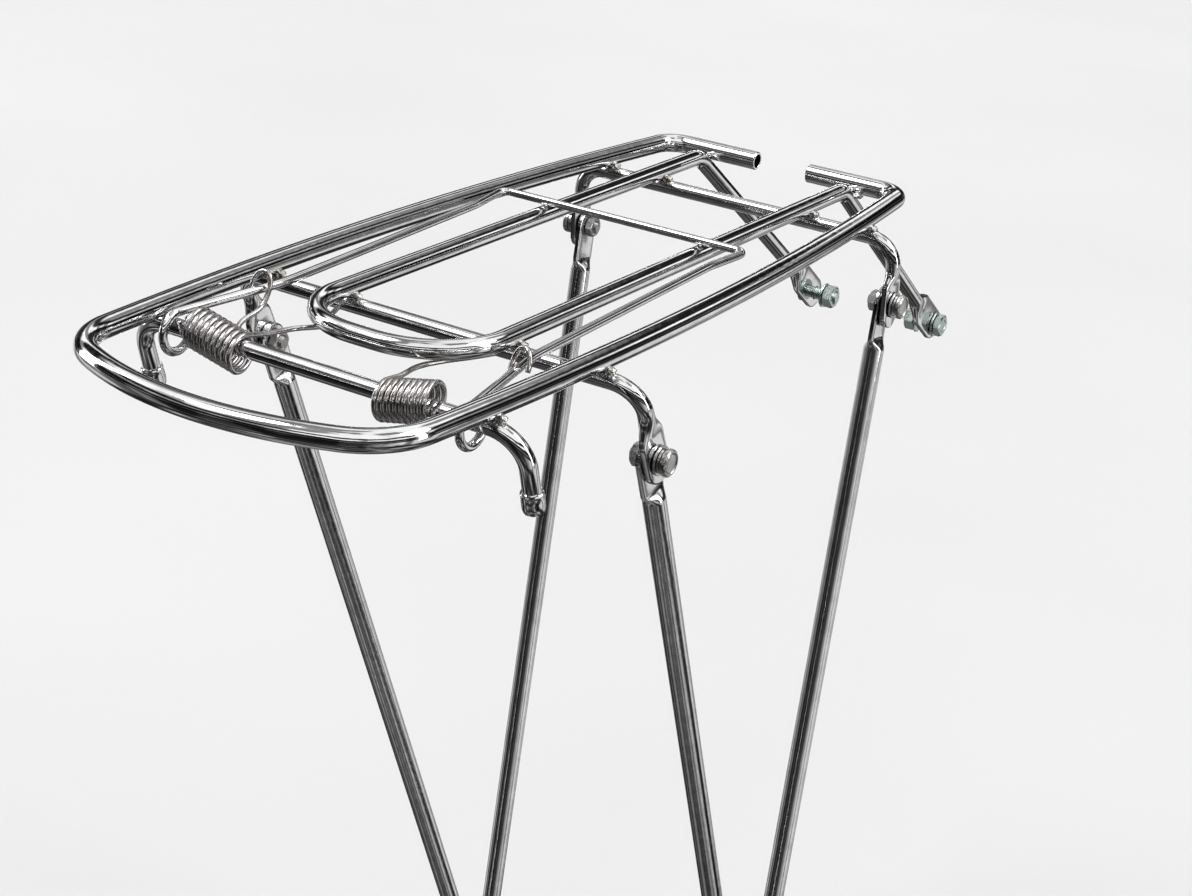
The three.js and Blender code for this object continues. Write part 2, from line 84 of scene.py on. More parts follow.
BRACKET_R = 3.0
BRACKET_BEND_R = 11.0
BRACKET_Z = -(OUTER_R + BRACKET_R + GAP)
BRACKETS = {
    "rear": {"y": -262.4, "bolt": Vector((84.5, -247.5, -36.5)), "flat": 9.0, "taper": 12.0},
    "front": {"y": -43.4, "bolt": Vector((75.0, -41.0, -34.0)), "flat": 8.0, "taper": 7.5},
}

BAR_R = 3.1
BAR_Y = -323.5
BAR_Z = -(OUTER_R + BAR_R + GAP)
HOOK_X = 79.0
HOOK_LEAN = 18.6
HOOK_LENGTH = 26.7
HOOK_BEND_R = 13.0
CAP_R = 4.0
CAP_LENGTH = 8.5
CAP_INSIDE = 5.5

BAIL_R = 1.6
BAIL_FRONT = Vector((55.0, -137.0, INNER_Z + INNER_R + BAIL_R + GAP))
BAIL_WAIST_X = 52.3
BAIL_WAIST_FRONT_Y = -160.0
BAIL_WAIST_REAR_Y = -279.0
BAIL_BENDS = (60.0, 30.0, 4.0)
BAIL_EYE_R = 7.0
BAIL_EYE_TURN = 300.0
BAIL_EYE_CENTRE = Vector((60.5, BAR_Y - 1.5, BAR_Z - 0.9))

SPRING_WIRE_R = 0.95
SPRING_COIL_R = 6.65
SPRING_LENGTH = 20.0
SPRING_INNER_X = {"right": 25.5, "left": 33.0}
SPRING_TURNS = 8
SPRING_DROP = 2.2
SPRING_INNER_LEG = ((33, -272, -5.5), (29.3, -281, -5.5), (24.5, -291, -5.5))
SPRING_TO_COIL = ((-3.5, -301, -5.4), (-1.5, -313, -4.6))
SPRING_OUTER_LEG = (
    (49, -313, -11.4),
    (50.5, -303, -7.6),
    (50.6, -294, -5.6),
    (50.6, -290, -2),
    (50.8, -288, 2),
    (52, -287, 5),
    (54.2, -287, 6),
    (56.4, -288, 4.8),
    (57.5, -289, 2),
    (57.6, -290, -1),
)

STAY_R = 4.3
DROPOUT_Y = -80.0
DROPOUT_Z = -411.0
DROPOUT_X = 71.8

# Flattened ends: distance from tip to hole, half width, half thickness, flat length past the hole, taper.
EYE_STRUT = {"tip": 7.5, "half": 7.5, "thick": 1.5, "flat": 18.0, "taper": 14.0}
EYE_TAB = {"tip": 10.0, "half": 6.5, "thick": 1.6}
EYE_STAY = {"tip": 6.5, "half": 6.5, "thick": 1.3, "flat": 14.0, "taper": 6.0}
EYE_FOOT = {"tip": 6.5, "half": 6.5, "thick": 1.3, "flat": 16.0, "taper": 10.0}

# Fasteners: radii, half widths across the flats of hexagons, thread pitches, and lengths along the bolt.
M5 = {
    "hole": 2.9,
    "thread": 2.5,
    "pitch": 0.8,
    "head": 5.0,
    "head_length": 2.2,
    "washer": 5.4,
    "lock_washer": 4.4,
    "washer_bore": 2.8,
    "nut": 3.95,
    "nut_bore": 2.55,
    "nut_length": 3.2,
}
M6 = {
    "hole": 3.4,
    "thread": 3.0,
    "pitch": 1.0,
    "head": 4.75,
    "head_length": 3.3,
    "washer": 6.0,
    "washer_bore": 3.3,
    "nut": 4.9,
    "nut_bore": 3.05,
    "nut_length": 5.0,
}
WASHER_THICK = 0.9
LOCK_THICK = 0.9
LUG_GAP = 4.6
BOLT_TIP = 1.2
BOLT_OVERLAP = 0.1

# Drilled drain vents: radius, how deep they go, and how far they are from the bolt.
BRACKET_VENT = {"radius": 1.5, "depth": 2.2, "along": 15.0}
STAY_VENT = {"radius": 1.2, "depth": 4.3, "along": 44.0}

# Weld beads: half sizes along x, y and z, and how far their centres stand above the rail's underside.
CROSSING_WELD = (2.0, 1.7, 1.2)
CROSSING_WELD_RISE = 0.3
TAIL_WELD = (1.9, 2.0, 1.4)
TAIL_WELD_RISE = 0.2
TAIL_WELD_Y = -2.2

# The innermost ring of a turned face, small enough to look closed.
PIN_HOLE = 0.05

TUBE_SIDES = 32
HOLE_SIDES = 40
VENT_SIDES = 20
STAY_VENT_SIDES = 16
SMOOTH_ANGLE = 35.0

# ---- Where the CAD puts the deck's frame ------------------------------------------------------

RAIL_LOW, RAIL_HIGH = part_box("outer_rail")
DECK_ORIGIN = Vector((0.0, RAIL_HIGH[1] - OUTER_R / 1000.0, (RAIL_LOW[2] + RAIL_HIGH[2]) / 2.0))


def row(point):
    """A deck point in millimetres, in the row frame in metres."""
    return DECK_ORIGIN + Vector(point) / 1000.0


# ---- Paths --------------------------------------------------------------------------------------


def flat_arc(centre_x, centre_y, z, radius, start, end, step=3.0):
    """Points of a horizontal arc from one angle to another, in degrees."""
    count = max(2, math.ceil(abs(end - start) / step))
    points = []
    for i in range(count + 1):
        angle = math.radians(start + (end - start) * i / count)
        x = centre_x + radius * math.cos(angle)
        y = centre_y + radius * math.sin(angle)
        points.append(Vector((x, y, z)))
    return points


def rounded(corners, radii, step=5.0):
    """A path of straight runs whose inner corners are each rounded to a radius."""
    path = [corners[0].copy()]
    for radius, before, corner, after in zip(radii, corners, corners[1:], corners[2:]):
        into = (corner - before).normalized()
        out = (after - corner).normalized()
        turn = into.angle(out)
        start = corner - into * radius * math.tan(turn / 2.0)
        inward = (out - into * out.dot(into)).normalized()
        centre = start + inward * radius
        count = max(2, math.ceil(math.degrees(turn) / step))
        for i in range(count + 1):
            angle = turn * i / count
            path.append(centre - inward * radius * math.cos(angle) + into * radius * math.sin(angle))
    path.append(corners[-1].copy())
    return path


def side_name(side):
    return "right" if side > 0 else "left"


def mirrored(points):
    """The same points on the other side of the rack, in reverse order."""
    return [Vector((-p.x, p.y, p.z)) for p in reversed(points)]


def both_sides(right):
    """A whole path from its right half, which ends on the middle plane or just short of it."""
    left = mirrored(right)
    return right + (left[1:] if abs(right[-1].x) < 1e-6 else left)


def smooth_curve(points, step=1.0):
    """A Catmull-Rom curve through the points, with about one point every step."""
    fine = []
    padded = [points[0] * 2 - points[1]] + points + [points[-1] * 2 - points[-2]]
    for a, b, c, d in zip(padded, padded[1:], padded[2:], padded[3:]):
        count = max(1, round((c - b).length / step))
        for i in range(count):
            t = i / count
            square = 2 * a - 5 * b + 4 * c - d
            cube = 3 * b - a - 3 * c + d
            fine.append(0.5 * (2 * b + (c - a) * t + square * t**2 + cube * t**3))
    fine.append(points[-1].copy())
    return fine


# ---- Sections -----------------------------------------------------------------------------------


def smoothstep(value, low, high):
    """0 below low, 1 above high, and an even slope between them."""
    t = min(max((value - low) / (high - low), 0.0), 1.0)
    return t * t * (3.0 - 2.0 * t)


def circle(radius, sides):
    """Points of a round section."""
    turns = [2 * math.pi * i / sides for i in range(sides)]
    return [(radius * math.cos(turn), radius * math.sin(turn)) for turn in turns]


def flat_bar(thick, half, sides, squareness=0.28):
    """A flat section with rounded edges: thick along the first axis, half its half width."""
    points = []
    for i in range(sides):
        angle = 2 * math.pi * i / sides
        c, s = math.cos(angle), math.sin(angle)
        points.append((thick * math.copysign(abs(c) ** squareness, c), half * s))
    return points


def mixed(first, second, amount):
    """A section part way between two others."""
    return [
        (a[0] + (b[0] - a[0]) * amount, a[1] + (b[1] - a[1]) * amount)
        for a, b in zip(first, second)
    ]


def eye_distances(eye, tip_steps=12):
    """Stations from the round tip of a flattened eye to where its rod is round again."""
    half = eye["half"]
    tip = [half * (1 - math.cos(math.pi / 2 * (i + 0.35) / tip_steps)) for i in range(tip_steps)]
    flat_end = eye["tip"] + eye["flat"]
    flat = [half + (flat_end - half) * i / 4 for i in range(4)]
    taper = [flat_end + eye["taper"] * i / 12 for i in range(13)]
    return tip + flat + taper


def eye_section(distance, radius, eye, sides):
    """Section of a flattened eye at a distance from its tip."""
    half = eye["half"]
    flat_end = eye["tip"] + eye["flat"]
    width = half
    if distance < half:
        width = math.sqrt(half**2 - (half - distance) ** 2)
    fade = smoothstep(distance, flat_end, flat_end + eye["taper"])
    flat = flat_bar(eye["thick"], width, sides)
    return mixed(flat, circle(radius, sides), fade)


# ---- Meshes -------------------------------------------------------------------------------------


def transported(path, normal):
    """Tangent, normal and binormal at each point of a path, turned no more than the path turns."""
    frames = []
    last = len(path) - 1
    for i in range(len(path)):
        tangent = (path[min(i + 1, last)] - path[max(i - 1, 0)]).normalized()
        normal = (normal - tangent * normal.dot(tangent)).normalized()
        frames.append((tangent, normal, tangent.cross(normal)))
    return frames


def add_object(name, data):
    """A new object in the scene from a mesh, a light or a camera."""
    new = bpy.data.objects.new(name, data)
    bpy.context.scene.collection.objects.link(new)
    return new


def solid_mesh(name, vertices, faces):
    """A mesh in the row frame from deck vertices in millimetres, with its faces turned outwards."""
    mesh = bpy.data.meshes.new(name)
    mesh.from_pydata([row(v) for v in vertices], [], faces)
    bm = bmesh.new()
    bm.from_mesh(mesh)
    bmesh.ops.recalc_face_normals(bm, faces=bm.faces)
    bm.to_mesh(mesh)
    bm.free()
    return mesh


def shade(mesh, sharp):
    """Smooth shading that breaks at edges sharper than an angle in degrees."""
    mesh.polygons.foreach_set("use_smooth", [True] * len(mesh.polygons))
    mesh.set_sharp_from_angle(angle=math.radians(sharp))


def make_mesh(name, vertices, faces, material, sharp=SMOOTH_ANGLE):
    """A shaded object in the row frame from deck vertices in millimetres."""
    mesh = solid_mesh(name, vertices, faces)
    shade(mesh, sharp)
    mesh.materials.append(material)
    return add_object(name, mesh)


def loft(rings, closed=False):
    """Vertices and faces of a skin over rings of equal count, with its ends closed by flat faces."""
    sides = len(rings[0])
    vertices = [v for ring in rings for v in ring]
    faces = []
    for r in range(len(rings) - (0 if closed else 1)):
        base, above = r * sides, (r + 1) % len(rings) * sides
        for i in range(sides):
            j = (i + 1) % sides
            faces.append((base + i, base + j, above + j, above + i))
    if not closed:
        faces.append(tuple(range(sides)))
        faces.append(tuple(range(len(vertices) - sides, len(vertices))))
    return vertices, faces


def swept_rings(path, sections, normal):
    """Rings of points: each section set square to the path at its place."""
    rings = []
    for here, section, (_, n, b) in zip(path, sections, transported(path, normal)):
        rings.append([here + n * u + b * v for u, v in section])
    return rings


def end_rounding(distances, radius, edge):
    """Radius along a rod whose two ends have rounded edges."""
    total = distances[-1]
    radii = []
    for d in distances:
        near = min(d, total - d)
        cut = 0.0 if near >= edge else edge - math.sqrt(max(edge**2 - (edge - near) ** 2, 0.0))
        radii.append(radius - cut)
    return radii


def lengths(path):
    """Distance of each point from the path's start."""
    total = 0.0
    distances = [0.0]
    for a, b in zip(path, path[1:]):
        total += (b - a).length
        distances.append(total)
    return distances


def with_rounded_ends(path, edge):
    """The same path with extra points close to both ends, where the edges are rounded."""
    steps = [edge * part for part in (0.12, 0.35, 0.65, 1.0)]
    start = (path[1] - path[0]).normalized()
    end = (path[-2] - path[-1]).normalized()
    head = [path[0] + start * s for s in steps]
    tail = [path[-1] + end * s for s in reversed(steps)]
    return [path[0]] + head + path[1:-1] + tail + [path[-1]]


def rod(name, path, radius, material, sides=24, normal=Vector((0, 0, 1)), edge=0.5):
    """A solid round rod along a path."""
    path = with_rounded_ends(path, edge)
    radii = end_rounding(lengths(path), radius, edge)
    sections = [circle(r, sides) for r in radii]
    return make_mesh(name, *loft(swept_rings(path, sections, normal)), material)


def drill(piece, centre, radius, depth=20.0, sides=HOLE_SIDES):
    """Cuts a round hole along X into a piece, centred on a deck point."""
    rings = []
    for x in (-depth / 2, depth / 2):
        rings.append([centre + Vector((x, u, v)) for u, v in circle(radius, sides)])
    tool = add_object("drill", solid_mesh("drill", *loft(rings)))
    cut = piece.modifiers.new("hole", "BOOLEAN")
    cut.operation = "DIFFERENCE"
    cut.solver = "EXACT"
    cut.object = tool
    bpy.context.view_layer.update()
    evaluated = piece.evaluated_get(bpy.context.evaluated_depsgraph_get())
    drilled = bpy.data.meshes.new_from_object(evaluated)
    piece.modifiers.clear()
    old = piece.data
    drilled.name = old.name + "_drilled"
    piece.data = drilled
    bpy.data.meshes.remove(old)
    bpy.data.objects.remove(tool)
    shade(drilled, SMOOTH_ANGLE)


# ---- Materials ----------------------------------------------------------------------------------


def node_material(name):
    """A new material, its nodes, links and shader, and the place on the piece as a texture vector."""
    material = bpy.data.materials.new(name)
    material.use_nodes = True
    nodes = material.node_tree.nodes
    links = material.node_tree.links
    shader = nodes["Principled BSDF"]
    where = nodes.new("ShaderNodeTexCoord").outputs["Object"]
    return material, nodes, links, shader, where


def noise_node(nodes, links, where, scale, detail=3.0, roughness=0.5):
    """Cloudy noise, about 0.3 to 0.7."""
    texture = nodes.new("ShaderNodeTexNoise")
    texture.inputs["Scale"].default_value = scale
    texture.inputs["Detail"].default_value = detail
    texture.inputs["Roughness"].default_value = roughness
    links.new(where, texture.inputs["Vector"])
    return texture.outputs["Fac"]


def ramp_node(nodes, links, factor, stops):
    """Colours picked by a factor. Each stop is a place from 0 to 1 and a colour."""
    ramp = nodes.new("ShaderNodeValToRGB")
    while len(ramp.color_ramp.elements) < len(stops):
        ramp.color_ramp.elements.new(0.5)
    for element, (position, colour) in zip(ramp.color_ramp.elements, stops):
        element.position = position
        element.color = (*colour, 1.0)
    links.new(factor, ramp.inputs["Fac"])
    return ramp.outputs["Color"]


def range_node(nodes, links, value, low, high, source=(0.3, 0.7)):
    """A value moved from its source range to the range from low to high."""
    remap = nodes.new("ShaderNodeMapRange")
    remap.inputs["From Min"].default_value = source[0]
    remap.inputs["From Max"].default_value = source[1]
    remap.inputs["To Min"].default_value = low
    remap.inputs["To Max"].default_value = high
    links.new(value, remap.inputs["Value"])
    return remap.outputs["Result"]


def bump_node(nodes, links, height, strength, distance, under=None):
    """A normal bent by a height, on top of another bump if there is one under it."""
    bump = nodes.new("ShaderNodeBump")
    bump.inputs["Strength"].default_value = strength
    bump.inputs["Distance"].default_value = distance
    links.new(height, bump.inputs["Height"])
    if under is not None:
        links.new(under, bump.inputs["Normal"])
    return bump.outputs["Normal"]


def plated(name, light, dark, roughness, ripple, pitting):
    """Bright plating over steel: slow ripples from polishing, fine pits, and patches less clean.

    roughness is that of the cleanest and of the haziest places, ripple and pitting are bump strengths.
    """
    material, nodes, links, shader, where = node_material(name)
    shader.inputs["Metallic"].default_value = 1.0
    patches = noise_node(nodes, links, where, 90.0, detail=6.0, roughness=0.65)
    colour = ramp_node(nodes, links, patches, [(0.35, dark), (0.6, light)])
    links.new(colour, shader.inputs["Base Color"])
    haze = noise_node(nodes, links, where, 260.0, detail=5.0, roughness=0.6)
    hazy = range_node(nodes, links, haze, *roughness, source=(0.42, 0.72))
    links.new(hazy, shader.inputs["Roughness"])
    waves = noise_node(nodes, links, where, 140.0, detail=1.0)
    rippled = bump_node(nodes, links, waves, ripple, 0.0006)
    pits = noise_node(nodes, links, where, 1700.0, detail=3.0, roughness=0.6)
    links.new(bump_node(nodes, links, pits, pitting, 0.00005, rippled), shader.inputs["Normal"])
    return material


def weld_material():
    """Plated weld metal: bright and lumpy, with faint heat stains in its hollows."""
    material, nodes, links, shader, where = node_material("weld_bead")
    shader.inputs["Metallic"].default_value = 1.0
    stain = noise_node(nodes, links, where, 420.0, detail=4.0, roughness=0.6)
    stained, warm, clean = (0.30, 0.27, 0.23), (0.58, 0.54, 0.48), (0.82, 0.81, 0.79)
    colour = ramp_node(nodes, links, stain, [(0.30, stained), (0.42, warm), (0.55, clean)])
    links.new(colour, shader.inputs["Base Color"])
    links.new(range_node(nodes, links, stain, 0.38, 0.12), shader.inputs["Roughness"])
    lumps = noise_node(nodes, links, where, 900.0, detail=4.0, roughness=0.65)
    links.new(bump_node(nodes, links, lumps, 0.6, 0.0003), shader.inputs["Normal"])
    return material


def floor_material():
    """Pale studio floor with the faintest mottling."""
    material, nodes, links, shader, where = node_material("floor")
    cloud = noise_node(nodes, links, where, 1.5, detail=2.0)
    colour = ramp_node(nodes, links, cloud, [(0.3, (0.68, 0.68, 0.68)), (0.7, (0.71, 0.71, 0.71))])
    links.new(colour, shader.inputs["Base Color"])
    shader.inputs["Roughness"].default_value = 0.85
    shader.inputs["Specular IOR Level"].default_value = 0.1
    return material


CHROME = plated(
    "chrome_rod",
    light=(0.80, 0.80, 0.81),
    dark=(0.66, 0.65, 0.65),
    roughness=(0.045, 0.12),
    ripple=0.10,
    pitting=0.10,
)
STAY_CHROME = plated(
    "chrome_stay",
    light=(0.82, 0.82, 0.83),
    dark=(0.68, 0.67, 0.68),
    roughness=(0.09, 0.20),
    ripple=0.14,
    pitting=0.20,
)
SPRING_STEEL = plated(
    "spring_wire",
    light=(0.62, 0.60, 0.60),
    dark=(0.42, 0.39, 0.37),
    roughness=(0.14, 0.26),
    ripple=0.05,
    pitting=0.15,
)
FASTENER = plated(
    "plated_fastener",
    light=(0.64, 0.63, 0.62),
    dark=(0.38, 0.37, 0.36),
    roughness=(0.20, 0.42),
    ripple=0.14,
    pitting=0.45,
)
ZINC = plated(
    "zinc_fastener",
    light=(0.66, 0.76, 0.72),
    dark=(0.50, 0.56, 0.54),
    roughness=(0.20, 0.36),
    ripple=0.12,
    pitting=0.35,
)
WELD = weld_material()


# ---- Rails --------------------------------------------------------------------------------------


def outer_right_half():
    """Right half of the outer rail: tail, front corner, side, rear corner and half the rear bow."""
    side = Vector((OUTER_HALF - OUTER_SIDE_R, OUTER_WIDEST_Y, 0))
    bow = Vector((0, OUTER_REAR_Y + OUTER_BOW_R, 0))
    to_side = OUTER_SIDE_R - OUTER_CORNER_R
    to_bow = OUTER_BOW_R - OUTER_CORNER_R
    apart = (bow - side).length
    foot = (to_side**2 - to_bow**2 + apart**2) / (2 * apart)
    height = math.sqrt(to_side**2 - foot**2)
    line = (bow - side).normalized()
    corner = side + line * foot + Vector((line.y, -line.x, 0)) * height
    side_end = math.degrees(math.atan2(corner.y - side.y, corner.x - side.x))
    bow_start = math.degrees(math.atan2(corner.y - bow.y, corner.x - bow.x))
    side_start = math.degrees(math.asin((-OUTER_FRONT_R - OUTER_WIDEST_Y) / OUTER_SIDE_R))
    front_x = side.x + OUTER_SIDE_R * math.cos(math.radians(side_start)) - OUTER_FRONT_R
    path = [Vector((TAIL_END_X, 0, 0)), Vector((front_x - 1, 0, 0))]
    path += flat_arc(front_x, -OUTER_FRONT_R, 0, OUTER_FRONT_R, 90, side_start, 6)
    path += flat_arc(side.x, side.y, 0, OUTER_SIDE_R, side_start, side_end, 0.5)[1:]
    path += flat_arc(corner.x, corner.y, 0, OUTER_CORNER_R, side_end, bow_start, 4)[1:]
    path += flat_arc(bow.x, bow.y, 0, OUTER_BOW_R, bow_start, -90, 2)[1:]
    return path


def outer_rail():
    """The racket-shaped tube, with its wall and bore showing at both cut ends."""
    lip = OUTER_LIP
    path = both_sides(outer_right_half())
    start = (path[1] - path[0]).normalized()
    end = (path[-2] - path[-1]).normalized()
    outside = [(path[0] + start * lip, OUTER_R)] + [(p, OUTER_R) for p in path[1:-1]]
    outside += [(path[-1] + end * lip, OUTER_R)]
    near = [(path[0] + start * BORE_DEPTH, OUTER_BORE), (path[0] + start * lip / 2, OUTER_BORE)]
    near += [(path[0], OUTER_BORE + lip / 2), (path[0], OUTER_R - lip)]
    far = [(path[-1], OUTER_R - lip), (path[-1], OUTER_BORE + lip / 2)]
    far += [(path[-1] + end * lip / 2, OUTER_BORE), (path[-1] + end * BORE_DEPTH, OUTER_BORE)]
    stations = near + outside + far
    rail_frames = transported(path, Vector((0, 0, 1)))
    count = len(outside)
    spans = [0] * len(near) + list(range(count)) + [count - 1] * len(far)
    rings = []
    for (here, radius), i in zip(stations, spans):
        _, n, b = rail_frames[i]
        rings.append([here + n * u + b * v for u, v in circle(radius, TUBE_SIDES)])
    return make_mesh("outer_rail_tube", *loft(rings), CHROME)


def strut_direction():
    """Unit vector from a strut's eye up towards the deck: it passes just under the tails."""
    reach = math.hypot(STRUT_BOLT.y, STRUT_BOLT.z)
    clear = OUTER_R + INNER_R + GAP
    slope = math.atan2(-STRUT_BOLT.z, STRUT_BOLT.y) - math.asin(clear / reach)
    return Vector((0, -math.cos(slope), math.sin(slope)))


def eye_path(bolt, inward, eye):
    """Points along a flattened eye, from its tip inwards."""
    return [bolt + inward * (d - eye["tip"]) for d in eye_distances(eye)]


def rod_with_eyes(name, right, bolt, radius, eye, hole):
    """A symmetrical rod whose two ends are flattened and drilled. right starts at the right eye's tip."""
    path = both_sides(right)
    sections = [circle(radius, TUBE_SIDES) for _ in path]
    for i, distance in enumerate(eye_distances(eye)):
        sections[i] = eye_section(distance, radius, eye, TUBE_SIDES)
        sections[-1 - i] = sections[i]
    piece = make_mesh(name, *loft(swept_rings(path, sections, Vector((1, 0, 0)))), CHROME)
    for side in (1, -1):
        drill(piece, Vector((side * bolt.x, bolt.y, bolt.z)), hole)
    return piece


def inner_rail():
    """The hairpin rod and its two struts."""
    inward = strut_direction()
    eye = eye_path(STRUT_BOLT, inward, EYE_STRUT)
    rise = (INNER_Z - STRUT_BOLT.z) / inward.z
    knee = Vector((INNER_HALF, STRUT_BOLT.y + inward.y * rise, INNER_Z))
    corner_y = INNER_REAR_Y + INNER_CORNER_R
    run = rounded([eye[-1], knee, Vector((INNER_HALF, corner_y, INNER_Z))], [INNER_BEND_R], 4)
    bend = flat_arc(INNER_HALF - INNER_CORNER_R, corner_y, INNER_Z, INNER_CORNER_R, 0, -90, 3)
    right = eye[:-1] + run + bend[1:]
    return rod_with_eyes("inner_rail_rod", right, STRUT_BOLT, INNER_R, EYE_STRUT, M6["hole"])


def bracket(end):
    """A cross rod under the rails, with its legs bent down and flattened to tabs."""
    spot = BRACKETS[end]
    bolt = spot["bolt"]
    knee = Vector((bolt.x, spot["y"], BRACKET_Z))
    inward = (knee - bolt).normalized()
    tab = {**EYE_TAB, "flat": spot["flat"], "taper": spot["taper"]}
    eye = eye_path(bolt, inward, tab)
    middle = Vector((0, spot["y"], BRACKET_Z))
    right = eye[:-1] + rounded([eye[-1], knee, middle], [BRACKET_BEND_R], 4)
    piece = rod_with_eyes(f"{end}_bracket_rod", right, bolt, BRACKET_R, tab, M5["hole"])
    vent = bolt + inward * BRACKET_VENT["along"]
    for side in (1, -1):
        at = Vector((side * (bolt.x - BRACKET_R), vent.y, vent.z))
        drill(piece, at, BRACKET_VENT["radius"], BRACKET_VENT["depth"], VENT_SIDES)
    return piece


def hook_direction():
    """Unit vector down along a strap hook."""
    lean = math.radians(HOOK_LEAN)
    return Vector((0, math.sin(lean), -math.cos(lean)))


def rear_crossbar():
    """The rod under the rails at the back, bent down at both ends as the strap hooks."""
    knee = Vector((HOOK_X, BAR_Y, BAR_Z))
    end = knee + hook_direction() * HOOK_LENGTH
    path = both_sides(rounded([end, knee, Vector((0, BAR_Y, BAR_Z))], [HOOK_BEND_R], 4))
    return rod("rear_crossbar_rod", path, BAR_R, CHROME, sides=28, normal=Vector((1, 0, 0)))


# ---- Turned pieces ------------------------------------------------------------------------------


def turned_rings(profile, origin, axis, up, sides):
    """Rings of a turned shape: profile is (radius, distance along axis)."""
    side = axis.cross(up).normalized()
    rings = []
    for radius, along in profile:
        centre = origin + axis * along
        rings.append([centre + up * u + side * v for u, v in circle(radius, sides)])
    return rings


def turned(name, profile, origin, axis, material, sides=40, closed=False, sharp=30.0):
    """A turned piece. A closed profile is a ring's whole section."""
    up = Vector((0, 0, 1)) if abs(axis.z) < 0.9 else Vector((0, 1, 0))
    up = (up - axis * up.dot(axis)).normalized()
    rings = turned_rings(profile, origin, axis, up, sides)
    return make_mesh(name, *loft(rings, closed), material, sharp)


def hook_cap(side):
    """A pressed cap, bulged below its rim."""
    down = hook_direction()
    tip = Vector((side * HOOK_X, BAR_Y, BAR_Z)) + down * (HOOK_LENGTH + GAP + CAP_LENGTH - CAP_INSIDE)
    bore = BAR_R + 0.05
    top = CAP_LENGTH
    profile = [
        (PIN_HOLE, 0.1),
        (CAP_R * 0.35, 0.02),
        (CAP_R * 0.72, 0.25),
        (CAP_R * 0.9, 0.9),
        (CAP_R * 0.98, 2.0),
        (CAP_R, 3.4),
        (CAP_R * 0.985, 5.0),
        (CAP_R * 0.96, top - 1.3),
        (CAP_R * 0.99, top - 0.8),
        (CAP_R * 0.97, top - 0.3),
        (CAP_R * 0.9, top),
        (bore, top - 0.1),
        (bore, top - 1.5),
    ]
    return turned(f"hook_cap_shell_{side_name(side)}", profile, tip, -down, CHROME, sides=36)


# ---- Clip and springs ---------------------------------------------------------------------------


def bail():
    """The clip's wire, with an eye round the crossbar at each end."""
    centre = BAIL_EYE_CENTRE
    rise = BAIL_FRONT.z - centre.z - BAIL_EYE_R
    slope = math.atan2(rise, BAIL_FRONT.y - centre.y)
    eye = []
    steps = 60
    for i in range(steps + 1):
        angle = slope + math.radians(BAIL_EYE_TURN * (1 - i / steps))
        eye.append(centre + BAIL_EYE_R * Vector((0, -math.sin(angle), math.cos(angle))))
    waist = [
        Vector((BAIL_WAIST_X, y, BAIL_FRONT.z - (BAIL_FRONT.y - y) * math.tan(slope)))
        for y in (BAIL_WAIST_REAR_Y, BAIL_WAIST_FRONT_Y)
    ]
    middle = Vector((0, BAIL_FRONT.y, BAIL_FRONT.z))
    bent = rounded([eye[-1], *waist, BAIL_FRONT, middle], BAIL_BENDS, 3)[1:-1]
    path = both_sides(eye + bent)
    return rod("bail_wire", path, BAIL_R, CHROME, sides=18, normal=Vector((1, 0, 0)), edge=0.4)


def spring_paths(inner_x):
    """A spring as on the right side: its inner leg, and its coil with the hook over the clip's arm."""
    coil = []
    per_turn = 36
    steps = round((SPRING_TURNS + 0.5) * per_turn)
    for i in range(steps + 1):
        part = i / steps
        angle = 2 * math.pi * i / per_turn
        x = inner_x + SPRING_LENGTH * part
        y = BAR_Y - SPRING_COIL_R * math.sin(angle)
        z = BAR_Z + SPRING_DROP * (2 * part - 1) + SPRING_COIL_R * math.cos(angle)
        coil.append(Vector((x, y, z)))
    inner = [Vector(p) for p in SPRING_INNER_LEG]
    inner += [Vector((inner_x + x, y, z)) for x, y, z in SPRING_TO_COIL]
    inner_leg = smooth_curve(inner + coil[:2])[:-1]
    outer_leg = smooth_curve(coil[-2:] + [Vector(p) for p in SPRING_OUTER_LEG])[1:]
    return inner_leg + [coil[1]], coil[1:-1] + outer_leg


def spring(side):
    """The still inner leg and the coil, each as a rod."""
    label = side_name(side)
    pieces = []
    for name, path in zip(("spring_leg", "spring_coil"), spring_paths(SPRING_INNER_X[label])):
        if side < 0:
            path = mirrored(path)
        pieces.append(rod(f"{name}_{label}", path, SPRING_WIRE_R, SPRING_STEEL, sides=12, edge=0.05))
    return pieces


# ---- Stays --------------------------------------------------------------------------------------


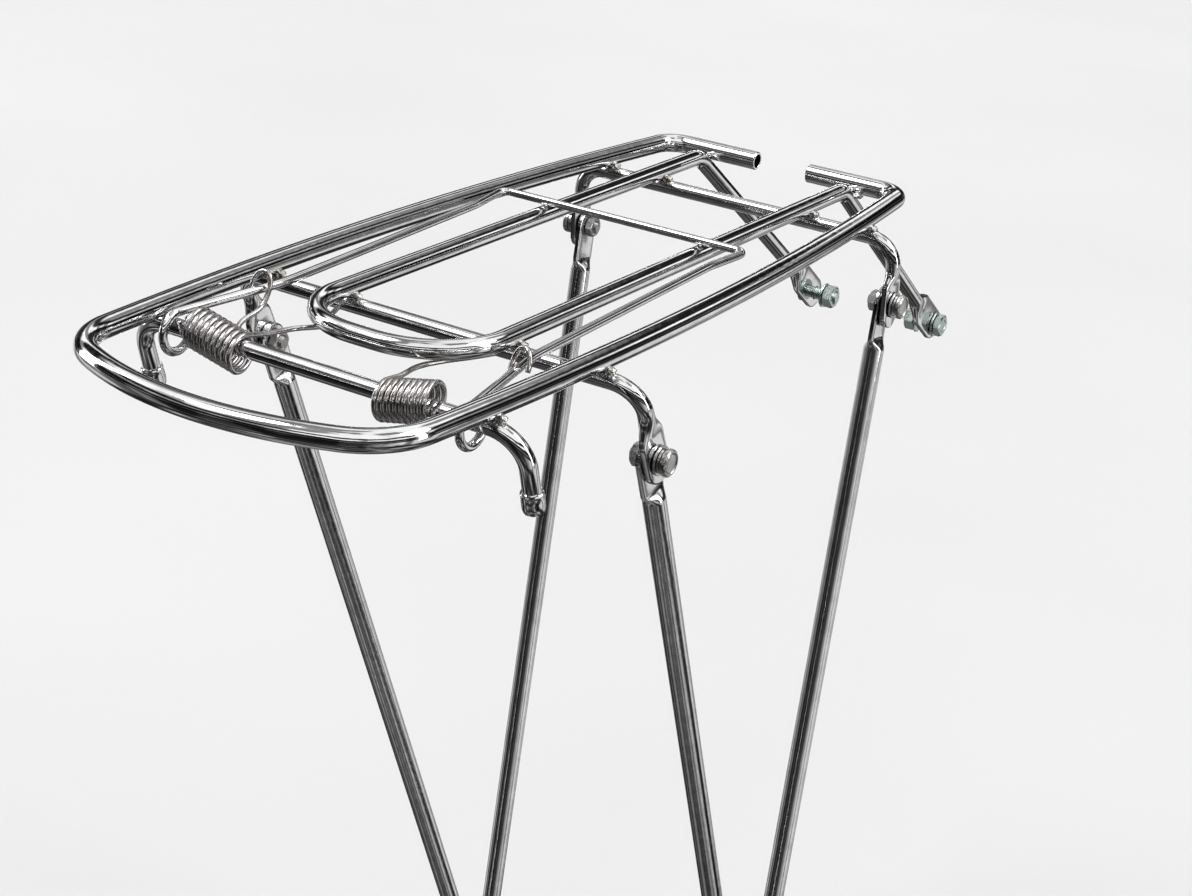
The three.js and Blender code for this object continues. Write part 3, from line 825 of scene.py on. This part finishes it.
def stay(end, side):
    """A tube pressed flat at both ends."""
    bolt = BRACKETS[end]["bolt"]
    stack = 2 * EYE_STAY["thick"] + GAP
    top = Vector((bolt.x - EYE_TAB["thick"] - GAP - EYE_STAY["thick"], bolt.y, bolt.z))
    foot = Vector((DROPOUT_X + (stack if end == "rear" else 0.0), DROPOUT_Y, DROPOUT_Z))
    down = Vector((0, foot.y - top.y, foot.z - top.z)).normalized()
    upper = eye_path(top, down, EYE_STAY)
    lower = eye_path(foot, -down, EYE_FOOT)
    middle = [upper[-1].lerp(lower[-1], t / 8) for t in range(1, 8)]
    path = [Vector((side * p.x, p.y, p.z)) for p in upper + middle + lower[::-1]]
    upper_sections = [eye_section(d, STAY_R, EYE_STAY, TUBE_SIDES) for d in eye_distances(EYE_STAY)]
    lower_sections = [eye_section(d, STAY_R, EYE_FOOT, TUBE_SIDES) for d in eye_distances(EYE_FOOT)]
    sections = upper_sections + [circle(STAY_R, TUBE_SIDES)] * len(middle) + lower_sections[::-1]
    label = side_name(side)
    rings = swept_rings(path, sections, Vector((1, 0, 0)))
    piece = make_mesh(f"{end}_stay_tube_{label}", *loft(rings), STAY_CHROME)
    for hole in (top, foot):
        drill(piece, Vector((side * hole.x, hole.y, hole.z)), M5["hole"])
    vent = foot.lerp(top, STAY_VENT["along"] / (top - foot).length)
    at = Vector((side * (vent.x - STAY_R), vent.y, vent.z))
    drill(piece, at, STAY_VENT["radius"], STAY_VENT["depth"], STAY_VENT_SIDES)
    return piece


# ---- Fasteners ----------------------------------------------------------------------------------


def washer(name, centre, axis, outer, inner, material):
    """A flat washer with rounded edges."""
    edge = 0.18
    profile = [
        (inner, edge),
        (inner + edge, 0),
        (outer - edge, 0),
        (outer, edge),
        (outer, WASHER_THICK - edge),
        (outer - edge, WASHER_THICK),
        (inner + edge, WASHER_THICK),
        (inner, WASHER_THICK - edge),
    ]
    return turned(name, profile, centre, axis, material, closed=True)


def lock_washer(name, centre, axis, outer, inner, material):
    """A split ring of square wire, its two ends slightly out of line."""
    sides = 44
    opening = math.radians(9)
    offset = 0.12
    half = (outer - inner) / 2
    middle = (outer + inner) / 2
    high = LOCK_THICK * 0.44
    section = ((-half, -high), (half, -high), (half, high), (-half, high))
    up = Vector((0, 0, 1))
    across = axis.cross(up).normalized()
    rings = []
    for i in range(sides + 1):
        part = i / sides
        angle = opening / 2 + (2 * math.pi - opening) * part
        radial = up * math.cos(angle) + across * math.sin(angle)
        base = centre + axis * (LOCK_THICK * 0.5 + offset * (2 * part - 1))
        rings.append([base + radial * (middle + u) + axis * v for u, v in section])
    return make_mesh(name, *loft(rings), material)


def hex_outline(angle, apothem):
    """Distance from the centre to a hexagon's edge at an angle."""
    within = (angle + math.pi / 6) % (math.pi / 3) - math.pi / 6
    return apothem / math.cos(within)


def hex_body(name, centre, axis, apothem, bore, height, material, cap=False):
    """A nut or a bolt's head: a hexagon with its corners turned off at 30 degrees."""
    sides = 72
    up = Vector((0, 0, 1))
    across = axis.cross(up).normalized()
    face = apothem * 0.95
    slope = math.tan(math.radians(30))
    if cap:
        dish = height - 0.25
        inner_top = (PIN_HOLE, dish)
        inner_edge = (apothem * 0.55, dish)
        inner_bottom = (PIN_HOLE, 0.0)
    else:
        chamfer = 0.4
        inner_top = (bore, height - chamfer)
        inner_edge = (bore + chamfer, height)
        inner_bottom = (bore, chamfer)

    def ring(radius_of, height_of):
        points = []
        for i in range(sides):
            angle = 2 * math.pi * i / sides
            radial = up * math.cos(angle) + across * math.sin(angle)
            points.append(centre + radial * radius_of(angle) + axis * height_of(angle))
        return points

    def plain(radius, along):
        return ring(lambda angle: radius, lambda angle: along)

    def edge(top):
        def height_of(angle):
            drop = max(hex_outline(angle, apothem) - face, 0.0) * slope
            return height - drop if top else drop

        return ring(lambda angle: hex_outline(angle, apothem), height_of)

    rings = [plain(*inner_bottom)]
    if not cap:
        rings.append(plain(bore + chamfer, 0.0))
    rings += [plain(face, 0.0), edge(False), edge(True), plain(face, height)]
    if cap:
        rings.append(plain(apothem * 0.62, height))
    rings += [plain(*inner_edge), plain(*inner_top)]
    return make_mesh(name, *loft(rings, closed=not cap), material, sharp=20.0)


def threaded(name, start, axis, length, size, material):
    """A threaded shank with a chamfered tip, its thread drawn as close rings."""
    radius = size["thread"]
    pitch = size["pitch"]
    root = radius - 0.32
    tip = radius - 0.55
    profile = [(radius, 0.0)]
    along = pitch
    while along < length - 1.5 * pitch:
        profile += [(radius, along), (root, along + pitch * 0.5)]
        along += pitch
    profile += [(radius, along), (tip, length), (PIN_HOLE, length)]
    return turned(name, profile, start, axis, material, sides=32)


def round_head(name, centre, axis, radius, height, material):
    """A low round head with a raised rim, a groove and a plain disc inside it."""
    profile = [
        (PIN_HOLE, 0.0),
        (radius * 0.94, 0.0),
        (radius, 0.35),
        (radius, height - 0.9),
        (radius * 0.97, height - 0.35),
        (radius * 0.89, height),
        (radius * 0.80, height - 0.05),
        (radius * 0.74, height - 0.45),
        (radius * 0.70, height - 0.5),
        (radius * 0.64, height - 0.25),
        (radius * 0.40, height - 0.12),
        (PIN_HOLE, height - 0.08),
    ]
    return turned(name, profile, centre, axis, material, sides=48)


# ---- Assembly -----------------------------------------------------------------------------------


def place(piece, body, slot, *nodes):
    """Joins a piece to its body and hides the CAD parts that it stands in for."""
    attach(piece, body)
    if nodes:
        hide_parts(*nodes)
    return piece


def shank(name, centre, axis, head_at, nut_at, size, material):
    """A bolt's thread, from just inside its head to a little past its nut."""
    start = centre + axis * (head_at + BOLT_OVERLAP)
    length = head_at - nut_at + size["nut_length"] + BOLT_TIP
    return threaded(name, start, -axis, length, size, material)


def leg_fasteners(end, side):
    """Bolt, washers and nut that hold a stay to its bracket."""
    label = f"{end}_{side_name(side)}"
    bolt = BRACKETS[end]["bolt"]
    axis = Vector((side, 0, 0))
    centre = Vector((side * bolt.x, bolt.y, bolt.z))
    washer_at = EYE_TAB["thick"] + GAP
    lock_at = washer_at + WASHER_THICK + GAP
    head_at = lock_at + LOCK_THICK + GAP
    nut_at = -EYE_TAB["thick"] - 2 * EYE_STAY["thick"] - 2 * GAP
    bore = M5["washer_bore"]

    def add(piece, *nodes):
        place(piece, "deck", "plated_fastener", *nodes)

    name, at = f"leg_bolt_head_{label}", centre + axis * head_at
    add(round_head(name, at, axis, M5["head"], M5["head_length"], FASTENER), f"leg_bolt_{label}")
    add(shank(f"leg_bolt_thread_{label}", centre, axis, head_at, nut_at, M5, FASTENER))
    name, at = f"leg_washer_ring_{label}", centre + axis * washer_at
    add(washer(name, at, axis, M5["washer"], bore, FASTENER), f"leg_washer_{label}")
    name, at = f"leg_lock_ring_{label}", centre + axis * lock_at
    add(lock_washer(name, at, axis, M5["lock_washer"], bore, FASTENER), f"leg_lock_washer_{label}")
    name, at = f"leg_nut_hex_{label}", centre + axis * nut_at
    nut = hex_body(name, at, -axis, M5["nut"], M5["nut_bore"], M5["nut_length"], FASTENER)
    add(nut, f"leg_nut_{label}")


def frame_fasteners(side):
    """Bolt, washers and nut that hold a strut to the bicycle's lug."""
    label = side_name(side)
    axis = Vector((side, 0, 0))
    centre = Vector((side * STRUT_BOLT.x, STRUT_BOLT.y, STRUT_BOLT.z))
    outer_at = EYE_STRUT["thick"] + GAP
    head_at = outer_at + WASHER_THICK + GAP
    inner_at = -EYE_STRUT["thick"] - LUG_GAP - WASHER_THICK
    nut_at = inner_at - GAP

    def add(piece, *nodes):
        place(piece, "deck", "zinc_fastener", *nodes)

    name, at = f"frame_bolt_head_{label}", centre + axis * head_at
    head = hex_body(name, at, axis, M6["head"], 0, M6["head_length"], ZINC, cap=True)
    add(head, f"frame_bolt_{label}")
    add(shank(f"frame_bolt_thread_{label}", centre, axis, head_at, nut_at, M6, ZINC))
    for where, along in (("outer", outer_at), ("inner", inner_at)):
        name, at = f"frame_washer_ring_{where}_{label}", centre + axis * along
        ring = washer(name, at, axis, M6["washer"], M6["washer_bore"], ZINC)
        add(ring, f"frame_washer_{where}_{label}")
    name, at = f"frame_nut_hex_{label}", centre + axis * nut_at
    nut = hex_body(name, at, -axis, M6["nut"], M6["nut_bore"], M6["nut_length"], ZINC)
    add(nut, f"frame_nut_{label}")


def outer_half_width(y):
    """Half the outer rail's centre spacing at a place along it."""
    return OUTER_HALF - OUTER_SIDE_R + math.sqrt(OUTER_SIDE_R**2 - (y - OUTER_WIDEST_Y) ** 2)


def weld_bead(name, centre, size, seed):
    """One small lumpy bead of weld metal."""
    bm = bmesh.new()
    bmesh.ops.create_icosphere(bm, subdivisions=4, radius=1.0)
    offset = Vector((seed * 3.7, seed * 1.3, seed * 2.1))
    vertices = []
    for v in bm.verts:
        swell = 0.22 * noise.noise(v.co * 1.6 + offset)
        grain = 0.07 * noise.noise(v.co * 6.0 + offset)
        ball = Vector((v.co.x * size[0], v.co.y * size[1], v.co.z * size[2]))
        vertices.append(centre + ball * (1.0 + swell + grain))
    faces = [tuple(v.index for v in face.verts) for face in bm.faces]
    bm.free()
    return make_mesh(name, vertices, faces, WELD, sharp=60.0)


def weld_crossings():
    """Where rods cross rails: a label, the rail's x on the right, the rod's y, the rail's radius."""
    crossings = []
    for end in ("rear", "front"):
        y = BRACKETS[end]["y"]
        crossings.append((f"{end}_bracket_outer", outer_half_width(y), y, OUTER_R))
        crossings.append((f"{end}_bracket_inner", INNER_HALF, y, INNER_R))
    crossings.append(("crossbar_outer", outer_half_width(BAR_Y), BAR_Y, OUTER_R))
    return crossings


def welds():
    """Beads where the outer and inner rails cross the brackets, the crossbar and the tails."""
    seed = 0
    for label, x, y, radius in weld_crossings():
        for side in (1, -1):
            for face, way in (("out", 1), ("in", -1)):
                seed += 1
                centre = Vector((side * (x + way * radius * 0.8), y, -OUTER_R + CROSSING_WELD_RISE))
                name = f"weld_{label}_{face}_{side_name(side)}"
                place(weld_bead(name, centre, CROSSING_WELD, seed), "deck", "chrome_rod")
    for side in (1, -1):
        seed += 1
        x = side * (INNER_HALF + INNER_R * 0.9)
        centre = Vector((x, TAIL_WELD_Y, -OUTER_R + TAIL_WELD_RISE))
        bead = weld_bead(f"weld_tail_{side_name(side)}", centre, TAIL_WELD, seed)
        place(bead, "deck", "chrome_rod")


def add_spring(side):
    """A spring: its inner leg joined to the deck, its coil left in the row frame, and the CAD spring
    hidden.
    """
    label = side_name(side)
    leg, coil = spring(side)
    place(leg, "deck", "spring_wire")
    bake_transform(coil)
    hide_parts(f"spring_{label}")


def build_rack():
    """Every piece, on its body."""
    place(outer_rail(), "deck", "chrome_rod", "outer_rail")
    place(inner_rail(), "deck", "chrome_rod", "inner_rail")
    for end in ("rear", "front"):
        place(bracket(end), "deck", "chrome_rod", f"{end}_bracket")
    place(rear_crossbar(), "deck", "chrome_rod", "rear_crossbar")
    place(bail(), "clip", "chrome_rod", "bail")
    for side in (1, -1):
        label = side_name(side)
        place(hook_cap(side), "deck", "chrome_rod", f"hook_cap_{label}")
        add_spring(side)
        for end in ("rear", "front"):
            node = f"{end}_stay_{label}"
            place(stay(end, side), f"{node}_body", "chrome_stay", node)
            leg_fasteners(end, side)
        frame_fasteners(side)
    welds()


# ---- Studio -------------------------------------------------------------------------------------

# Camera: places in the deck's frame in millimetres, its roll in radians.
CAMERA_AT = (426.07, -886.72, 260.67)
CAMERA_LOOKS_AT = (102.18, -350.88, 0.0)
CAMERA_ROLL = -0.083
SENSOR_MM = 36.0
LENS_MM = 69.87
SHIFT = (0.0461, 0.0107)

# Suns: where the light comes from, strength, angle in degrees.
SUNS = {
    "key": ((-0.5, -0.35, 1.0), 1.75, 24.0),
    "second": ((0.9, 0.5, 1.0), 0.8, 30.0),
}
# Strip lights: place, width and length, in metres, and watts.
STRIPS = {
    "strip_left": ((-1.6, -0.4, 0.9), (0.35, 1.6), 8),
    "strip_right": ((1.5, 0.3, 0.8), (0.3, 1.6), 7),
}
STRIPS_LOOK_AT = (0.0, 0.0, 0.4)
FLOOR_HALF = 12.0
DOME_RADIUS = 11.0
DOME_START = -0.05
DOME_REACH = 0.98

# Where the dark front of the studio reaches, from straight down (0) to straight up (1).
DARK_FRONT = ((0.20, 0.0), (0.235, 1.0), (0.46, 1.0), (0.48, 0.0))
# Where along Y it is wholly dark and where it ends.
DARK_FRONT_EDGE = (-0.70, -0.10)
PANEL_STRENGTH = 0.85
WORLD_WOBBLE = 0.16

# Brightness of the studio from straight down (0) to straight up (1).
WORLD_BANDS = (
    (0.00, 0.04),
    (0.04, 0.55),
    (0.07, 0.05),
    (0.11, 0.62),
    (0.14, 0.05),
    (0.20, 0.04),
    (0.24, 0.75),
    (0.42, 0.85),
    (0.445, 0.03),
    (0.50, 0.02),
    (0.515, 0.45),
    (0.53, 0.03),
    (0.64, 0.02),
    (0.66, 1.30),
    (0.70, 1.30),
    (0.72, 0.03),
    (0.78, 0.04),
    (0.81, 1.25),
    (1.00, 1.10),
)


def add_camera():
    """The photograph's own viewpoint."""
    data = bpy.data.cameras.new("camera")
    data.sensor_fit = "HORIZONTAL"
    data.sensor_width = SENSOR_MM
    data.lens = LENS_MM
    data.shift_x, data.shift_y = SHIFT
    data.clip_start = 0.01
    data.clip_end = 100.0
    camera = add_object("camera", data)
    at = row(CAMERA_AT)
    forward = (row(CAMERA_LOOKS_AT) - at).normalized()
    right = forward.cross(Vector((0, 0, 1))).normalized()
    down = forward.cross(right)
    turned_right = right * math.cos(CAMERA_ROLL) + down * math.sin(CAMERA_ROLL)
    turned_down = -right * math.sin(CAMERA_ROLL) + down * math.cos(CAMERA_ROLL)
    basis = Matrix((turned_right, -turned_down, -forward)).transposed()
    camera.matrix_world = Matrix.Translation(at) @ basis.to_4x4()
    bpy.context.scene.camera = camera


def add_strip(name, at, size, power):
    """A strip light that only shows as a streak on bright metal."""
    data = bpy.data.lights.new(name, "AREA")
    data.shape = "RECTANGLE"
    data.size = size[0]
    data.size_y = size[1]
    data.energy = power
    light = add_object(name, data)
    light.location = at
    way = Vector(STRIPS_LOOK_AT) - Vector(at)
    light.rotation_euler = way.to_track_quat("-Z", "Y").to_euler()
    light.visible_diffuse = False


def add_sun(name, direction, strength, angle):
    """A soft sun whose light comes from a direction."""
    data = bpy.data.lights.new(name, "SUN")
    data.energy = strength
    data.angle = math.radians(angle)
    sun = add_object(name, data)
    sun.rotation_euler = Vector(direction).to_track_quat("Z", "Y").to_euler()


def backdrop_material():
    """A pale backdrop that needs no light of its own."""
    material, nodes, links, shader, where = node_material("backdrop")
    cloud = noise_node(nodes, links, where, 0.4, detail=1.0)
    colour = ramp_node(nodes, links, cloud, [(0.3, (0.84, 0.84, 0.84)), (0.7, (0.87, 0.87, 0.87))])
    shader.inputs["Base Color"].default_value = (0.0, 0.0, 0.0, 1.0)
    shader.inputs["Specular IOR Level"].default_value = 0.0
    shader.inputs["Roughness"].default_value = 1.0
    links.new(colour, shader.inputs["Emission Color"])
    shader.inputs["Emission Strength"].default_value = 1.0
    return material


def add_backdrop():
    """A dome round the floor, for views near the horizon. It lights nothing and nothing mirrors it."""
    rings = 24
    sectors = 48
    vertices = []
    for i in range(rings + 1):
        lift = math.pi / 2 * i / rings * DOME_REACH + DOME_START
        flat = DOME_RADIUS * math.cos(lift)
        z = DOME_RADIUS * math.sin(lift)
        for k in range(sectors):
            turn = 2 * math.pi * k / sectors
            vertices.append((flat * math.cos(turn), flat * math.sin(turn), z))
    faces = []
    for i in range(rings):
        for k in range(sectors):
            a, b = i * sectors + k, i * sectors + (k + 1) % sectors
            faces.append((a, b, b + sectors, a + sectors))
    mesh = bpy.data.meshes.new("backdrop")
    mesh.from_pydata(vertices, [], faces)
    mesh.materials.append(backdrop_material())
    dome = add_object("backdrop", mesh)
    dome.visible_glossy = False
    dome.visible_diffuse = False
    dome.visible_shadow = False
    dome.visible_transmission = False


def add_floor():
    """The pale floor. The metal doesn't mirror it: the world's low bands stand in for it."""
    corners = [(x * FLOOR_HALF, y * FLOOR_HALF, 0) for x, y in ((-1, -1), (1, -1), (1, 1), (-1, 1))]
    mesh = bpy.data.meshes.new("floor")
    mesh.from_pydata(corners, [], [(0, 1, 2, 3)])
    mesh.materials.append(floor_material())
    floor = add_object("floor", mesh)
    floor.visible_glossy = False


def add_studio():
    """Floor, backdrop, lights and surround."""
    add_floor()
    add_backdrop()
    for name, (direction, strength, angle) in SUNS.items():
        add_sun(name, direction, strength, angle)
    for name, (at, size, power) in STRIPS.items():
        add_strip(name, at, size, power)
    bpy.context.scene.world = studio_world()
    bpy.context.scene.view_settings.view_transform = "Standard"


def grey_ramp(nodes, links, factor, stops):
    """Greys picked by a factor."""
    return ramp_node(nodes, links, factor, [(at, (value, value, value)) for at, value in stops])


def multiplied(nodes, links, first):
    """A node that multiplies a colour by its own input B, as far as its factor says."""
    mix = nodes.new("ShaderNodeMix")
    mix.data_type = "RGBA"
    mix.blend_type = "MULTIPLY"
    links.new(first, mix.inputs["A"])
    return mix


def wavy_height(nodes, links, direction, upwards):
    """From straight down (0) to straight up (1), with a slow wobble so that no band is ruled."""
    wobble = noise_node(nodes, links, direction, 2.3, detail=2.0)
    shifted = nodes.new("ShaderNodeMath")
    shifted.operation = "MULTIPLY_ADD"
    shifted.inputs[1].default_value = WORLD_WOBBLE
    links.new(wobble, shifted.inputs[0])
    links.new(upwards, shifted.inputs[2])
    middle = WORLD_WOBBLE / 2
    source = (middle - 1.0, middle + 1.0)
    return range_node(nodes, links, shifted.outputs["Value"], 0.0, 1.0, source)


def upright_panels(nodes, links, direction):
    """Tall pale and dark patches, like the screens round a studio."""
    stretch = nodes.new("ShaderNodeMapping")
    stretch.inputs["Scale"].default_value = (1.0, 1.0, 0.25)
    links.new(direction, stretch.inputs["Vector"])
    patches = noise_node(nodes, links, stretch.outputs["Vector"], 3.1, detail=2.0, roughness=0.4)
    return grey_ramp(nodes, links, patches, ((0.46, 0.10), (0.54, 1.0)))


def dark_front(nodes, links, along_y, height):
    """How dark the low front of the studio is, in each direction."""
    both = nodes.new("ShaderNodeMath")
    both.operation = "MULTIPLY"
    links.new(range_node(nodes, links, along_y, 1.0, 0.0, DARK_FRONT_EDGE), both.inputs[0])
    links.new(grey_ramp(nodes, links, height, DARK_FRONT), both.inputs[1])
    return both.outputs["Value"]


def studio_world():
    """A dark studio with pale bands of screens and floor, so that plating has something to mirror."""
    world = bpy.data.worlds.new("studio")
    world.use_nodes = True
    nodes = world.node_tree.nodes
    links = world.node_tree.links
    direction = nodes.new("ShaderNodeTexCoord").outputs["Generated"]
    split = nodes.new("ShaderNodeSeparateXYZ")
    links.new(direction, split.inputs["Vector"])
    height = wavy_height(nodes, links, direction, split.outputs["Z"])
    panelled = multiplied(nodes, links, grey_ramp(nodes, links, height, WORLD_BANDS))
    panelled.inputs["Factor"].default_value = PANEL_STRENGTH
    links.new(upright_panels(nodes, links, direction), panelled.inputs["B"])
    fronted = multiplied(nodes, links, panelled.outputs["Result"])
    links.new(dark_front(nodes, links, split.outputs["Y"], height), fronted.inputs["Factor"])
    fronted.inputs["B"].default_value = (0.05, 0.05, 0.05, 1.0)
    background = nodes["Background"]
    links.new(fronted.outputs["Result"], background.inputs["Color"])
    background.inputs["Strength"].default_value = 1.0
    return world


build_rack()
add_camera()
add_studio()
